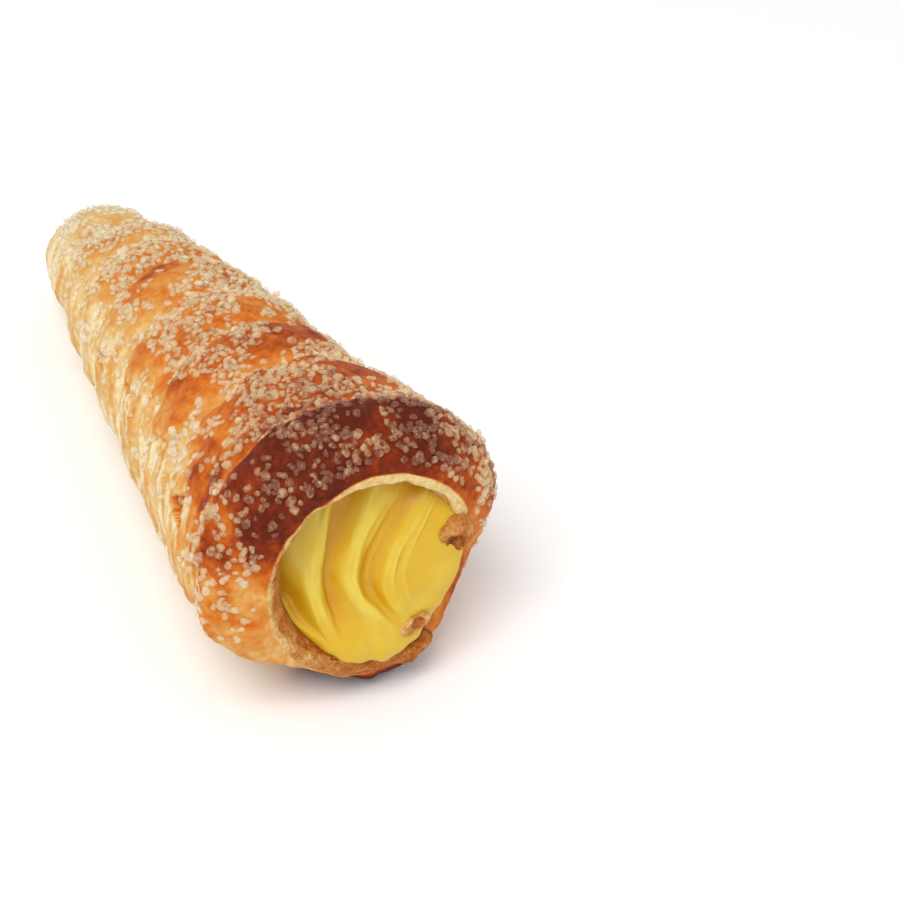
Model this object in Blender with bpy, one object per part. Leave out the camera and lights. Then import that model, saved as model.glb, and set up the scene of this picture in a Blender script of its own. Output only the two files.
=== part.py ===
"""A cream horn: a strip of puff pastry wound into a cone, sugared, baked and filled with piped custard.

It lies on its side with its mouth towards +X. Units are metres, with +Z up, and the origin is
the centre of the bounding box's base. Angles round the cone are counted from the top towards +Y.
"""

import math

import bmesh
import bpy
import numpy as np

# Overall form
LENGTH = 0.130
MOUTH_RADIUS = 0.0256
TIP_RADIUS = 0.0084
TAPER_POWER = 0.91
TAPER_SWELL = 0.36
SIT_RATIO = 0.933
BODY_SHIFT = -0.0008
BODY_SHIFT_LENGTH = 0.026
CONE_START = -LENGTH / 2
CONE_END = 0.0585

# The wound strip: where each turn's rear edge crosses the top of the horn, mouth turn first
TURN_EDGES = (0.0520, 0.0342, 0.0166, -0.0012, -0.0185, -0.0295, -0.0428)
EDGE_ADVANCE = 0.0138
EDGE_BOW = 0.0060
SHIFT_FADE_START = math.radians(75)
LEDGE_HEIGHT = 0.0018
LEDGE_LENGTH = 0.0005
DOME_PEAK = 0.34
DOME_FALL_POWER = 1.2
REAR_EDGE_SHARE = 0.62
COVERED_SHARE = 0.985
UNDERSIDE_RELIEF = 0.15
FLANK_RELIEF = 0.70
FLANK_START = math.radians(-50)
FLANK_WIDTH = math.radians(40)
PRESSED_START = math.radians(125)
PRESSED_WIDTH = math.radians(45)
UNEVENNESS = 0.0006
# Each wave's share of the unevenness, turns round the horn, radians per metre along it, and phase
UNEVEN_WAVES = ((0.45, 2.0, 38.0, 0.6), (0.30, 3.0, -71.0, 2.1), (0.25, 5.0, 120.0, 4.0))

# Tip and mouth
TIP_CAP_LENGTH = 0.0075
TIP_CAP_POWER = 2.6
TIP_SHARE_START = 0.3
RIM_RADIUS = 0.0158
RIM_HEIGHT_RATIO = 0.956
RIM_LEAN = 0.053
LIP_THICKNESS = 0.0011
RIM_CUT_BACK = 0.0055
RIM_CUT_ANGLE = math.radians(115)
RIM_CUT_WIDTH = math.radians(36)
CURL_POWER = 2.3
CURL_POWER_BELOW = 1.6
CURL_ANGLE = math.radians(-145)
CURL_WIDTH = math.radians(45)
CURL_POWER_BLUNT = 2.5
BLUNT_ANGLE = math.radians(140)
BLUNT_WIDTH = math.radians(32)
TUCK_DEPTH = 0.0022
TUCK_ANGLE = math.radians(122)
TUCK_WIDTH = math.radians(26)
TUCK_START = 0.022

# The hollow that the mould leaves, and the filling in it
HOLLOW_END = -0.048
HOLLOW_END_RADIUS = 0.0030
HOLLOW_FLARE = 0.0014
FLARE_DEPTH = 0.0060
FILLING_GAP = 0.0003
FILLING_RECESS_BEHIND = 0.0050
FILLING_RECESS_FRONT = -0.0006
FILLING_LEVEL = 0.60
FILLING_SLOPE = (0.45, -0.50)
FILLING_BULGE = 0.0040
FILLING_EDGE_DROP = 0.0012
EDGE_DROP_POWER = 6
BOUNDARY_PASSES = 4
SPIRAL_CENTRE = (0.0070, -0.0050)
SPIRAL_CREASE_RADIUS = 0.0035
SPIRAL_CREASE_GROWTH = 0.72
LOBE_SPACING = 0.0032
LOBE_GROWTH = 0.43
LOBE_DEPTH = 0.0020
CREASE_COUNT = 4.0
SMOOTH_LEVEL = 0.7
SPIRAL_START = math.radians(-10)
LOBE_FADE_START = math.radians(-42)
LOBE_FADE_WIDTH = math.radians(42)

# Mesh density
COLUMNS = 56
TURN_STATIONS = (0.0, 0.12, 0.34, 0.62, 0.88)
TIP_STATIONS = (0.05, 0.14, 0.26, 0.42, 0.62, 0.82, 0.95)
MOUTH_STATIONS = (0.0, 0.08, 0.22, 0.40, 0.58, 0.74, 0.87, 0.95, 1.0)
HOLLOW_STATIONS = (0.0, 0.08, 0.28, 0.55, 0.80, 1.0)
FACE_STATIONS = (0.08, 0.16, 0.24, 0.32, 0.40, 0.48, 0.56, 0.64, 0.72, 0.80, 0.87, 0.94, 1.0)

# Looks
PASTRY_ROUGHNESS = 0.55
CUSTARD_ROUGHNESS = 0.25
PASTRY_COLOUR = (0.62, 0.27, 0.07, 1.0)
CUSTARD_COLOUR = (0.86, 0.60, 0.07, 1.0)


def angles():
    """Angles round the cone, from straight down through -Y, the top and +Y."""
    return np.linspace(-math.pi, math.pi, COLUMNS, endpoint=False)


def smooth_step(value):
    """Rises smoothly from 0 to 1 while value does, and is level outside that."""
    value = np.clip(value, 0.0, 1.0)
    return value * value * (3.0 - 2.0 * value)


def bell(phi, angle, width):
    """Rises to 1 at one angle round the cone, and fades to either side of it."""
    away = (phi - angle + math.pi) % (2.0 * math.pi) - math.pi
    return np.exp(-((away / width) ** 2))


def cone_radius(x):
    """Radius of the baked cone, over the crests of its turns."""
    share = np.clip((x - CONE_START) / (CONE_END - CONE_START), 0.0, 1.0)
    swell = TAPER_SWELL * share * (1.0 - share) * (1.0 - 2.0 * share)
    return TIP_RADIUS + (MOUTH_RADIUS - TIP_RADIUS) * (share**TAPER_POWER + swell)


def cone_axis(x):
    """Sideways place and height of the cone's axis: behind the mouth turn the horn lies to -Y."""
    shift = BODY_SHIFT * smooth_step((CONE_END - x) / BODY_SHIFT_LENGTH)
    return shift, SIT_RATIO * cone_radius(x)


def hollow_axis(x):
    """The mould's axis is straight, from the cone's height at the hollow's end to that at the mouth."""
    back, front = SIT_RATIO * cone_radius(HOLLOW_END), SIT_RATIO * cone_radius(LENGTH / 2)
    return np.zeros_like(x), back + (front - back) * (x - HOLLOW_END) / (LENGTH / 2 - HOLLOW_END)


def edge_shift(phi):
    """How much nearer the mouth a turn's rear edge is at this angle than on top.

    The strip winds towards the mouth down the -Y flank, and sags that way on both flanks.
    Underneath, where the dough is pressed flat, the edge is led back so that it meets itself.
    """
    winding = -EDGE_ADVANCE * phi / (2.0 * math.pi)
    sagging = 0.5 * EDGE_BOW * (1.0 - np.cos(phi))
    fade = 1.0 - smooth_step((np.abs(phi) - SHIFT_FADE_START) / (math.pi - SHIFT_FADE_START))
    return (winding + sagging) * fade


def rim_x(phi):
    """The mouth's rim leans a little, and is cut back where the strip ends."""
    height = RIM_RADIUS * np.cos(phi)
    cut = RIM_CUT_BACK * bell(phi, RIM_CUT_ANGLE, RIM_CUT_WIDTH)
    return LENGTH / 2 - RIM_LEAN * (height + RIM_RADIUS) - cut


def relief_share(phi):
    """The turns stand out on top, less on the -Y flank, and are pressed flat underneath."""
    flank = smooth_step((FLANK_START - phi) / FLANK_WIDTH)
    pressed = smooth_step((np.abs(phi) - PRESSED_START) / PRESSED_WIDTH)
    side = 1.0 - (1.0 - FLANK_RELIEF) * flank
    return side + (UNDERSIDE_RELIEF - side) * pressed


def dome(share):
    """Height of one turn's surface, from its rear edge (0) to where the next turn covers it (1)."""
    rise = REAR_EDGE_SHARE + (1.0 - REAR_EDGE_SHARE) * np.sin(0.5 * math.pi * share / DOME_PEAK)
    fall = np.cos(0.5 * math.pi * (share - DOME_PEAK) / (1.0 - DOME_PEAK)) ** DOME_FALL_POWER
    return np.where(share < DOME_PEAK, rise, np.where(share < 1.0, fall, 0.0))


def unevenness(x, phi):
    """Hand-rolled dough is never quite round."""
    waves = (share * np.sin(turns * phi + along * x + phase) for share, turns, along, phase in UNEVEN_WAVES)
    return UNEVENNESS * sum(waves)


def tuck(x, phi):
    """How far the strip's end is tucked in, low on the +Y side of the mouth."""
    along = smooth_step((x - TUCK_START) / (CONE_END - TUCK_START))
    return TUCK_DEPTH * along * bell(phi, TUCK_ANGLE, TUCK_WIDTH)


def outer_radius(x, phi, share):
    """Radius of the crust where the turn's own coordinate is share."""
    height = LEDGE_HEIGHT * relief_share(phi) * (dome(share) - 1.0)
    return cone_radius(x) + height + unevenness(x, phi) - tuck(x, phi)


def tip_rings(phi):
    """From just beyond the tip to the first visible rear edge."""
    last = TURN_EDGES[-1] + edge_shift(phi) - LEDGE_LENGTH
    for station in TIP_STATIONS:
        x = CONE_START + station * (last - CONE_START)
        cap = np.clip((CONE_START + TIP_CAP_LENGTH - x) / TIP_CAP_LENGTH, 0.0, 1.0)
        closing = (1.0 - cap**TIP_CAP_POWER) ** (1.0 / TIP_CAP_POWER)
        share = TIP_SHARE_START + (1.0 - TIP_SHARE_START) * station
        yield x, outer_radius(x, phi, share) * closing


def turn_rings(phi, rear, front):
    """One whole turn, from its own rear edge to just behind the next turn's."""
    start = rear + edge_shift(phi)
    end = front + edge_shift(phi) - LEDGE_LENGTH
    for station in TURN_STATIONS:
        x = start + station * (end - start)
        yield x, outer_radius(x, phi, station)
    yield end, outer_radius(end, phi, np.full_like(phi, COVERED_SHARE))


def curl_power(phi):
    """The last turn is full on top, curls in sooner at the lower left and is blunt at its cut end."""
    soft = CURL_POWER_BELOW * bell(phi, CURL_ANGLE, CURL_WIDTH)
    blunt = CURL_POWER_BLUNT * bell(phi, BLUNT_ANGLE, BLUNT_WIDTH)
    return CURL_POWER - soft + blunt


def mouth_rings(phi):
    """The last turn swells from its rear edge and then curls in to the rim."""
    start = TURN_EDGES[0] + edge_shift(phi)
    end = rim_x(phi)
    lip = (RIM_RADIUS + LIP_THICKNESS) * rim_flattening(phi)
    for station in MOUTH_STATIONS:
        x = start + station * (end - start)
        crest = outer_radius(start, phi, min(station, DOME_PEAK))
        curl = np.sqrt(1.0 - station ** curl_power(phi))
        yield x, lip + (crest - lip) * curl


def rim_flattening(phi):
    """The rim is a little lower than it is wide."""
    return np.sqrt(np.sin(phi) ** 2 + (RIM_HEIGHT_RATIO * np.cos(phi)) ** 2)


def hollow_radius(x, phi):
    """Radius of the hollow that the conical mould leaves, with its edge baked a little open."""
    share = (x - HOLLOW_END) / (LENGTH / 2 - HOLLOW_END)
    straight = HOLLOW_END_RADIUS + (RIM_RADIUS - HOLLOW_FLARE - HOLLOW_END_RADIUS) * share
    flare = HOLLOW_FLARE * np.clip(1.0 - (rim_x(phi) - x) / FLARE_DEPTH, 0.0, 1.0)
    return (straight + flare) * rim_flattening(phi)


def hollow_x(station, phi):
    """From the inner end of the flare (0) back along the hollow, nearly to the tip (1)."""
    start = rim_x(phi) - FLARE_DEPTH
    return start + station * (HOLLOW_END - start)


def hollow_rings(phi):
    """From the rim back to the hollow's end."""
    yield rim_x(phi), hollow_radius(rim_x(phi), phi)
    for station in HOLLOW_STATIONS:
        x = hollow_x(station, phi)
        yield x, hollow_radius(x, phi)


def ring_points(x, radius, phi, axis):
    """World points of one ring; what would sink below the table is pressed flat on it."""
    x = np.broadcast_to(x, phi.shape)
    across, height = axis(x)
    height = np.maximum(height + radius * np.cos(phi), 0.0)
    return np.stack([x, across + radius * np.sin(phi), height], axis=1)


def lobe_height(y, z):
    """Share of full height of the piped ridges, which curl round a centre at the lower right.

    They follow logarithmic spirals: counted inwards, a ridge is at each even number and a groove
    at each odd one, up to the last crease. What lies inside that is smoothed over.
    """
    across, up = SPIRAL_CENTRE[0] - y, z - SPIRAL_CENTRE[1]
    angle = np.arctan2(up, across)
    wound = np.maximum(angle, SPIRAL_START)
    crease = SPIRAL_CREASE_RADIUS * np.exp(SPIRAL_CREASE_GROWTH * wound)
    spacing = LOBE_SPACING * np.exp(LOBE_GROWTH * wound)
    count = CREASE_COUNT - (np.hypot(across, up) - crease) / spacing
    ridges = 0.5 + 0.5 * np.cos(math.pi * np.minimum(count, CREASE_COUNT))
    sunk = (1.0 - SMOOTH_LEVEL) * smooth_step(count - CREASE_COUNT)
    fade = smooth_step((angle - LOBE_FADE_START) / LOBE_FADE_WIDTH)
    return fade * (ridges - sunk) + (1.0 - fade) * SMOOTH_LEVEL


def filling_face_x(y, z, share):
    """The custard's front: recessed at the upper left, full at the lower right, and ridged."""
    full = smooth_step(FILLING_LEVEL + (FILLING_SLOPE[0] * y + FILLING_SLOPE[1] * z) / RIM_RADIUS)
    recess = FILLING_RECESS_BEHIND + (FILLING_RECESS_FRONT - FILLING_RECESS_BEHIND) * full
    relief = LOBE_DEPTH * (lobe_height(y, z) - 1.0)
    edge_drop = FILLING_EDGE_DROP * share**EDGE_DROP_POWER
    return LENGTH / 2 - RIM_LEAN * (z + RIM_RADIUS) - recess + relief - edge_drop


def filling_boundary(phi):
    """Where the custard's front meets the hollow's wall: each pass lands nearer to it."""
    radius = (RIM_RADIUS - HOLLOW_FLARE) * np.ones_like(phi)
    for _ in range(BOUNDARY_PASSES):
        x = filling_face_x(radius * np.sin(phi), radius * np.cos(phi), np.ones_like(phi))
        x = np.minimum(x, rim_x(phi) - FILLING_GAP)
        radius = hollow_radius(x, phi) - FILLING_GAP
    return x, radius


def filling_rings(phi):
    """From near the middle of the front, out to the wall and back along the hollow."""
    edge_x, edge_radius = filling_boundary(phi)
    for station in FACE_STATIONS:
        radius = edge_radius * station
        share = np.full_like(phi, station)
        x = filling_face_x(radius * np.sin(phi), radius * np.cos(phi), share)
        bulge = FILLING_BULGE * (1.0 - station**2)
        yield np.minimum(x, rim_x(phi) - FILLING_GAP + bulge), radius
    for station in HOLLOW_STATIONS:
        x = np.clip(hollow_x(station, phi), HOLLOW_END + 2.0 * FILLING_GAP, edge_x - FILLING_GAP)
        yield x, hollow_radius(x, phi) - FILLING_GAP


def closed_mesh(name, rings, start_point, end_point):
    """A closed surface from a chain of rings, capped by a fan at each end."""
    columns = len(rings[0])
    mesh = bmesh.new()
    rows = [[mesh.verts.new(point) for point in ring] for ring in rings]
    first = mesh.verts.new(start_point)
    last = mesh.verts.new(end_point)
    for column in range(columns):
        following = (column + 1) % columns
        mesh.faces.new((first, rows[0][column], rows[0][following]))
        mesh.faces.new((last, rows[-1][following], rows[-1][column]))
        for near, far in zip(rows, rows[1:]):
            mesh.faces.new((near[column], far[column], far[following], near[following]))
    bmesh.ops.recalc_face_normals(mesh, faces=mesh.faces)
    data = bpy.data.meshes.new(name)
    mesh.to_mesh(data)
    mesh.free()
    return data


def food_material(name, colour, roughness):
    """A Principled material of one colour."""
    material = bpy.data.materials.new(name)
    material.use_nodes = True
    shader = material.node_tree.nodes["Principled BSDF"]
    shader.inputs["Base Color"].default_value = colour
    shader.inputs["Roughness"].default_value = roughness
    shader.inputs["Metallic"].default_value = 0.0
    return material


def add_part(name, data, material):
    """One named object with its own material."""
    data.shade_smooth()
    data.materials.append(material)
    part = bpy.data.objects.new(name, data)
    bpy.context.scene.collection.objects.link(part)
    return part


def pastry_shell():
    """The wound crust with its mouth and the hollow that the mould left."""
    phi = angles()
    outside = list(tip_rings(phi))
    for rear, front in reversed(list(zip(TURN_EDGES[1:], TURN_EDGES))):
        outside += turn_rings(phi, rear, front)
    outside += mouth_rings(phi)
    points = [ring_points(x, radius, phi, cone_axis) for x, radius in outside]
    points += [ring_points(x, radius, phi, hollow_axis) for x, radius in hollow_rings(phi)]
    tip, inner_end = (CONE_START, *cone_axis(CONE_START)), (HOLLOW_END, *hollow_axis(HOLLOW_END))
    return closed_mesh("pastry_shell", points, tip, inner_end)


def custard_filling():
    """The piped custard, from the mouth to the end of the hollow."""
    phi = angles()
    points = [ring_points(x, radius, phi, hollow_axis) for x, radius in filling_rings(phi)]
    front_x, back_x = filling_face_x(0.0, 0.0, 0.0), HOLLOW_END + 2.0 * FILLING_GAP
    front, back = (front_x, *hollow_axis(front_x)), (back_x, *hollow_axis(back_x))
    return closed_mesh("custard_filling", points, front, back)


def centre_on_base(parts):
    """Moves the meshes together so that the box's base is centred on the origin."""
    corners = np.array([vertex.co for part in parts for vertex in part.data.vertices])
    low, high = corners.min(axis=0), corners.max(axis=0)
    for part in parts:
        for vertex in part.data.vertices:
            vertex.co.x -= 0.5 * (low[0] + high[0])
            vertex.co.y -= 0.5 * (low[1] + high[1])
            vertex.co.z -= low[2]


def build():
    """Clears the scene and makes both sub-parts."""
    for item in list(bpy.data.objects):
        bpy.data.objects.remove(item)
    crust = food_material("baked_pastry", PASTRY_COLOUR, PASTRY_ROUGHNESS)
    custard = food_material("custard", CUSTARD_COLOUR, CUSTARD_ROUGHNESS)
    shell = add_part("pastry_shell", pastry_shell(), crust)
    filling = add_part("custard_filling", custard_filling(), custard)
    centre_on_base((shell, filling))


build()
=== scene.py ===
"""The looks of a cream horn: its wound crust, coarse sugar and piped custard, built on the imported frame.

Units are metres, with +Z up. Angles round the horn are counted from the top towards +Y.
"""

import itertools
import math

import bmesh
import bpy
import numpy as np
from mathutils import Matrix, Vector


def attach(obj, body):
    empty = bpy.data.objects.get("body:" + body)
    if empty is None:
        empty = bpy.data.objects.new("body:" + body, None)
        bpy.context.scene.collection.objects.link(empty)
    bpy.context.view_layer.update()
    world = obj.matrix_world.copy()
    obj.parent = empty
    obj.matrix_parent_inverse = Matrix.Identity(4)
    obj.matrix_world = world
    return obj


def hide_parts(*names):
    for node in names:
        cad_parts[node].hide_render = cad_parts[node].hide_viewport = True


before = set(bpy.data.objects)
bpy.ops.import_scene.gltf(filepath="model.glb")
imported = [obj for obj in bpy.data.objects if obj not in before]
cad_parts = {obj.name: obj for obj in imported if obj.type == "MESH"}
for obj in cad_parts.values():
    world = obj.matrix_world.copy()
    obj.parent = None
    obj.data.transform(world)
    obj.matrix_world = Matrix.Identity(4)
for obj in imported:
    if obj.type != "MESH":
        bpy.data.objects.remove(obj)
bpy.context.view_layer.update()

MM = 0.001

# The form of the horn, as the part's own source has it. A bell is its height, then in degrees
# the angle of its peak and its width
LENGTH = 0.130
MOUTH_RADIUS = 0.0256
TIP_RADIUS = 0.0084
TAPER_POWER = 0.91
TAPER_SWELL = 0.36
SIT_RATIO = 0.933
BODY_SHIFT = -0.0008
BODY_SHIFT_LENGTH = 0.026
CONE_START = -LENGTH / 2
CONE_END = 0.0585
TURN_EDGES = (0.0520, 0.0342, 0.0166, -0.0012, -0.0185, -0.0295, -0.0428)
EDGE_ADVANCE = 0.0138
EDGE_BOW = 0.0060
SHIFT_FADE_START = math.radians(75)
LEDGE_HEIGHT = 0.0018
DOME_PEAK = 0.34
DOME_FALL_POWER = 1.2
REAR_EDGE_SHARE = 0.62
UNDERSIDE_RELIEF = 0.15
FLANK_RELIEF = 0.70
FLANK_START = math.radians(-50)
FLANK_WIDTH = math.radians(40)
PRESSED_START = math.radians(125)
PRESSED_WIDTH = math.radians(45)
UNEVENNESS = 0.0006
UNEVEN_WAVES = ((0.45, 2.0, 38.0, 0.6), (0.30, 3.0, -71.0, 2.1), (0.25, 5.0, 120.0, 4.0))
TIP_CAP_LENGTH = 0.0075
TIP_CAP_POWER = 2.6
TIP_SHARE_START = 0.3
RIM_RADIUS = 0.0158
RIM_HEIGHT_RATIO = 0.956
RIM_LEAN = 0.053
LIP_THICKNESS = 0.0011
RIM_CUT = (0.0055, 115, 36)
CURL_POWER = 2.3
CURL_BELOW = (1.6, -145, 45)
CURL_BLUNT = (2.5, 140, 32)
TUCK_START = 0.022
HOLLOW_END = -0.048
HOLLOW_END_RADIUS = 0.0030
HOLLOW_FLARE = 0.0014
FLARE_DEPTH = 0.0060
FILLING_GAP = 0.0003
FILLING_BACK = HOLLOW_END + 2.0 * FILLING_GAP
FILLING_RECESS_BEHIND = 0.0050
FILLING_RECESS_FRONT = -0.0006
FILLING_LEVEL = 0.60
FILLING_SLOPE = (0.45, -0.50)
FILLING_EDGE_DROP = 0.0012
EDGE_DROP_POWER = 6
BOUNDARY_PASSES = 4

# Form that the looks have for themselves: deeper tucks in the crust, a chamfer inside the rim,
# and custard that bulges and spills over it
TUCKS = ((0.0036, 125, 25), (0.0015, -132, 25), (-0.0006, 82, 25))
CHAMFER = (0.0017, -92, 42)
CHAMFER_DEPTH = 0.0022
CHAMFER_FADE = 5.0
FILLING_BULGE = 0.0046
BULGE_POWER = 7
FREE_MIDDLE = 0.012
FREE_MIDDLE_POWER = 3
LIMIT_SOFTNESS = 0.8 * MM
OVERFLOW_REACH = 0.17
OVERFLOW_RISE = 0.0018
OVERFLOW_BELLS = ((0.30, 108, 32), (1.0, 178, 34))
OVERFLOW_WAVES = ((0.10, 7.0, 1.0), (0.07, 17.0, 0.0), (0.05, 31.0, 0.0))
OVERFLOW_LIMIT = 1.1
OVERFLOW_REACH_POWER = 8
OVERFLOW_RISE_POWER = 5

# Mesh density
COLUMNS = 400
ROW_SPACING = 0.00036
TIP_POLE_ANGLE = 0.06
TIP_CAP_ROWS = 26
CREST_ROWS = 74
CREST_ROWS_SKIPPED = 2
RIM_ROWS = 9
WALL_ROWS = 26
FILLING_COLUMNS = 360
FILLING_ROWS = 120
FILLING_SIDE_ROWS = 8

# Where the strip's turns overlap: each row of a rear edge, as how far it stands ahead of the edge
# and its share of the step up from the turn below
LIP_ROWS = ((-0.12 * MM, 0.25), (-0.10 * MM, 0.55), (0.03 * MM, 0.80), (0.22 * MM, 0.95))
EDGE_ROWS = len(LIP_ROWS)
LIP_REACH = 0.45 * MM
HIDDEN_BAKE = 0.1
LIP_GAP = 0.06 * MM
UNDER_LIP_START = 0.15 * MM
COVERED_LENGTH = 0.70 * MM
LIP_ROOT = 0.90 * MM
ROOT_DEPTH = 0.30 * MM
LIP_FLOOR = 0.10 * MM
COVERED_FLOOR = 0.20 * MM
WALL_CLEARANCE = 0.05 * MM

# Unevenness of the strip's edges, each as its size and its height along the horn
EDGE_WAVES = ((11.0 * MM, 0.75 * MM), (3.2 * MM, 0.28 * MM), (1.2 * MM, 0.10 * MM))

# Unevenness of the crust, each as its size and its height. The strip's layers are drawn out along
# it, and lower on top: from how many degrees off the top they rise, and over how many
BLISTERS = ((5.2 * MM, 0.30 * MM), (2.4 * MM, 0.17 * MM), (1.1 * MM, 0.09 * MM))
LAYERS = ((1.3 * MM, 0.26 * MM),)
LAYER_STRETCH = 0.22
LAYERS_ON_TOP = 0.35
LAYER_SIDES = (35, 40)
EDGE_FADE = 0.8 * MM
TIP_RELIEF_START = 0.5

# The rim of the mouth: how far it swells, its ragged crumb and how far that reaches out and in,
# and how the crust's unevenness fades towards it and behind it
RIM_SWELL = 0.15 * MM
RIM_CRUMBS = ((3.0 * MM, 0.27 * MM), (1.3 * MM, 0.21 * MM))
RIM_CRUMB_REACH = 1.8 * MM
RIM_CRUMB_DEPTH = 2.5 * MM
RIM_RELIEF = 0.12
RIM_RELIEF_LENGTH = 4.5 * MM
WALL_RELIEF_DEPTH = 3.0 * MM

# The bare crumb at the rim: how far out it shows and how brown it is, each as a start and what
# the pale lip and the base add to it; where in degrees the lip begins and ends, and over how
# many; and how much browner the wall is, from which depth on and over which
CUT_REACH = (0.15 * MM, 0.85 * MM, 5.0 * MM)
CUT_BAKE = (0.34, -0.20, 0.32)
CUT_FADE = 0.4 * MM
CUT_SPOTS = ((1.2 * MM, 0.10),)
PALE_LIP_START = (-30, 35)
PALE_LIP_END = (72, 14)
LOW_CRUMB = (1.0, 180, 42)
WALL_BAKE = 0.24
WALL_BAKE_DEPTH = (0.2 * MM, 0.6 * MM)

# How brown the crust is from the tip to the mouth, from 0, pale, to 1, dark: place along the
# horn, then the level on the -Y flank, on top, on the +Y flank, underneath and low on the -Y flank
BAKE_ALONG = (
    (-0.065, 0.02, 0.05, 0.04, 0.05, 0.02),
    (-0.055, 0.04, 0.12, 0.08, 0.10, 0.04),
    (-0.042, 0.10, 0.30, 0.20, 0.16, 0.08),
    (-0.030, 0.12, 0.36, 0.24, 0.20, 0.10),
    (-0.015, 0.12, 0.44, 0.28, 0.24, 0.10),
    (0.005, 0.13, 0.42, 0.30, 0.26, 0.11),
    (0.020, 0.15, 0.54, 0.36, 0.28, 0.12),
    (0.035, 0.17, 0.58, 0.40, 0.30, 0.13),
    (0.048, 0.22, 0.65, 0.42, 0.30, 0.15),
    (0.053, 0.46, 0.78, 0.48, 0.28, 0.17),
    (0.058, 0.66, 0.92, 0.54, 0.26, 0.34),
    (0.062, 0.74, 0.92, 0.54, 0.30, 0.46),
    (0.066, 0.70, 0.88, 0.50, 0.30, 0.38),
)
BAKE_ANGLES = tuple(math.radians(a) for a in (-180, -125, -88, -66, -22, 24, 80, 120, 180))
BAKE_COLUMNS = (3, 4, 4, 0, 1, 1, 2, 2, 3)

# Hollows in the crust: place along the horn, angle, half length, half angle and depth, with the
# angles in degrees; then how much darker they are painted for their depth, as painted shade in the hollows,
# and how three-cornered
PITS = (
    (0.0452, -69, 0.0022, 4.8, 1.5 * MM),
    (0.0575, -81, 0.0016, 4.0, 1.1 * MM),
    (0.0300, -62, 0.0024, 3, 0.6 * MM),
    (0.0105, -64, 0.0030, 3, 0.5 * MM),
    (-0.0080, -70, 0.0022, 4, 0.5 * MM),
    (0.0250, 78, 0.0026, 4, 0.6 * MM),
    (-0.0240, 84, 0.0020, 5, 0.5 * MM),
)
PIT_SHADE = 0.45 / MM
PIT_CORNERS = 0.38

# How wide the pale band is on the turn below, just before each rear edge, and how pale; the same
# for the rear edge itself
PALE_BANDS = (1.6 * MM, 3.2 * MM, 2.2 * MM, 1.6 * MM, 1.5 * MM, 4.5 * MM, 4.5 * MM)
PALE_BAND_DEPTH = 0.50
PALE_EDGE_DEPTH = 0.45
PALE_EDGE_LENGTH = 1.1 * MM

# Unevenness of the browning, each as its size and its strength, with the share that is left where
# the crust is pale and the level where it is full; what the blisters' height adds; and streaks
# along the strip's layers, from how many degrees off the top they show, and over how many
MOTTLES = ((8.0 * MM, 0.05), (2.8 * MM, 0.06), (1.3 * MM, 0.05))
MOTTLE_WHERE_PALE = 0.45
MOTTLE_FULL_LEVEL = 0.4
BLISTER_BROWNING = 0.20 / MM
STREAKS = ((1.0 * MM, 0.14),)
STREAK_SIDES = (40, 30)

# The most that places and marks add up to, and the dark base where the mouth turn sits on the floor: partly
# its burnt underside, partly a painted contact shadow
BROWNEST = 0.93
BASE_BURN_AND_SHADOW = (2.0, 180, 58)
BASE_HEIGHT = 6.5 * MM
BASE_START_LENGTH = 3.0 * MM

# Marks on the crust: place along the horn, angle, half length, half angle, what it adds to the
# browning, and the share of the sugar that it keeps, above 1 where more gathers. Their outlines
# are uneven, by noise of this size and strength, and soft
MARK_WOBBLE = ((3.5 * MM, 0.25),)
MARK_REACH = 1.15
MARK_FADE = 0.4
MARKS = (
    (0.0205, 21, 0.0070, 15, 0.12, 0.03),
    (0.0240, -45, 0.0072, 13, 0.19, 0.06),
    (0.0410, 29, 0.0070, 12, 0.08, 0.06),
    (0.0062, -50, 0.0042, 11, 0.10, 0.15),
    (-0.0345, -40, 0.0065, 20, -0.02, 0.60),
    (0.0570, 12, 0.0038, 15, 0.08, 0.12),
    (0.0460, -51, 0.0064, 13, 0.24, 0.25),
    (-0.0170, -8, 0.0036, 19, 0.16, 0.80),
    (0.0600, -22, 0.0062, 42, 0.16, 1.00),
    (0.0560, -4, 0.0050, 24, 0.08, 0.75),
    (0.0640, -116, 0.0055, 16, -0.24, 1.00),
    (0.0205, -28, 0.0048, 9, -0.06, 2.20),
    (0.0420, -32, 0.0050, 8, -0.03, 1.80),
)

# Piped lines on the custard's face, from -Y to +Y, in millimetres: how far across each lies at
# its own height, that height, how fast it bends to +Y above and below, its level from 0, groove,
# to 1, ridge, and how late the level changes on the way to the next line
PIPED_LINES = (
    (-30.0, 0.0, 0.0, 0.0, 0.60, 1.0),
    (-13.6, -2.5, -0.30, 0.220, 0.85, 0.8),
    (-11.9, -2.5, -0.42, 0.185, 0.15, 1.4),
    (-10.0, 2.5, 0.045, 0.046, 1.00, 2.6),
    (-7.0, 0.9, 0.046, 0.046, 0.00, 1.3),
    (-3.5, 0.5, 0.075, 0.130, 1.00, 1.2),
    (-0.6, -1.5, 0.122, 0.122, 0.25, 1.6),
    (2.8, -3.5, 0.104, 0.104, 0.85, 0.6),
    (6.0, -3.5, 0.104, 0.104, 0.72, 1.0),
    (24.0, -3.5, 0.0, 0.0, 0.72, 1.0),
)
LINE_BEND_POWER = 1.6
LINE_SHIFT = (0.48, -0.83)
PIPED_DEPTH = 2.1 * MM
PIPED_FADE_START = -12.0 * MM
PIPED_FADE_LENGTH = 7.5 * MM
CUSTARD_LUMPS = ((6.0 * MM, 0.30 * MM), (2.4 * MM, 0.13 * MM))
CUSTARD_LUMPS_POWER = 8
CUSTARD_SPOTS = ((4.0 * MM, 0.10),)
CUSTARD_SIDE_LEVEL = 0.5
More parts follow.
